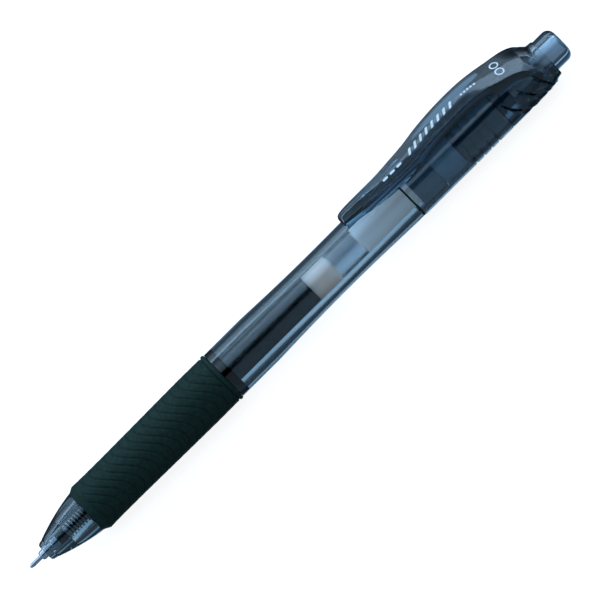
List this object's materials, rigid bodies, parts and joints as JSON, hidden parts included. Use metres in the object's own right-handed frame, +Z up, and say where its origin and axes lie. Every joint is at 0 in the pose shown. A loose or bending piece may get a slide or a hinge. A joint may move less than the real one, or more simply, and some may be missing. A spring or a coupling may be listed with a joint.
{
  "type": "retractable gel pen",
  "caption": "Retractable gel pen with a clear smoke-blue barrel, grooved rubber grip, needle tip, arched clip and a push button at the rear end.",
  "frame": {"origin": "the point under the pen's middle on the surface that it lies on, midway between the writing tip and the push button", "axes": "+X along the pen towards the push button, +Z up through the clip, +Y across the pen"},
  "size_m": [0.146, 0.0116, 0.0155],
  "materials": {
    "smoke_clear": "clear moulded polycarbonate, smoke blue",
    "smoke_clear_rear": "clear moulded polycarbonate, darker smoke blue",
    "grip_rubber": "matte moulded thermoplastic rubber",
    "seam_black": "matte",
    "cap_navy": "glossy moulded ABS, black-navy",
    "button_clear": "clear moulded, blue tint",
    "plunger_light": "satin moulded acetal",
    "cam_dark": "satin moulded acetal",
    "guide_dark": "satin moulded acetal",
    "ball_carbide": "polished",
    "steel": "turned and polished stainless steel",
    "holder_black": "satin moulded",
    "tube_clear": "clear extruded polypropylene",
    "ink_black": "wet gel",
    "grease": "cloudy follower grease",
    "tail_frosted": "frosted moulded polypropylene",
    "spring_steel": "drawn wire"
  },
  "bodies": {
    "barrel": {"front_barrel": "smoke_clear", "grip_sleeve": "grip_rubber", "seam_ring": "seam_black", "rear_barrel": "smoke_clear_rear", "end_cap": "cap_navy", "cam_guide": "guide_dark", "return_spring": "spring_steel"},
    "refill": {"needle_tube": "steel", "tip_shell": "steel", "tip_holder": "holder_black", "refill_tube": "tube_clear", "ink_column": "ink_black", "ink_follower": "grease", "refill_tail": "tail_frosted", "ball_spring": "spring_steel"},
    "button": {"knock_button": "button_clear", "cam_plunger": "plunger_light"},
    "rotor": {"cam_rotor": "cam_dark"},
    "clip": {"clip_arm": "cap_navy"},
    "ball": {"tip_ball": "ball_carbide"}
  },
  "joints": [
    {"name": "refill_slide", "type": "slide", "parent": "barrel", "child": "refill", "axis": [1, 0, 0], "range_m": [-0.0009, 0.0055], "deforming": ["return_spring"]},
    {"name": "button_slide", "type": "slide", "parent": "barrel", "child": "button", "axis": [1, 0, 0], "range_m": [-0.0009, 0.0055]},
    {"name": "rotor_turn", "type": "hinge", "parent": "refill", "child": "rotor", "pos_m": [0.039, 0, 0.00576], "axis": [1, 0, 0], "continuous": true},
    {"name": "clip_flex", "type": "hinge", "parent": "barrel", "child": "clip", "pos_m": [0.056, 0, 0.01326], "axis": [0, 1, 0], "range_deg": [0, 4], "stiffness_Nm_per_rad": 1},
    {"name": "ball_roll", "type": "hinge", "parent": "refill", "child": "ball", "pos_m": [-0.07273, 0, 0.00576], "axis": [0, 1, 0], "continuous": true}
  ],
  "couplings": [
    {"joint": "button_slide", "follows": "refill_slide", "ratio": 1}
  ]
}
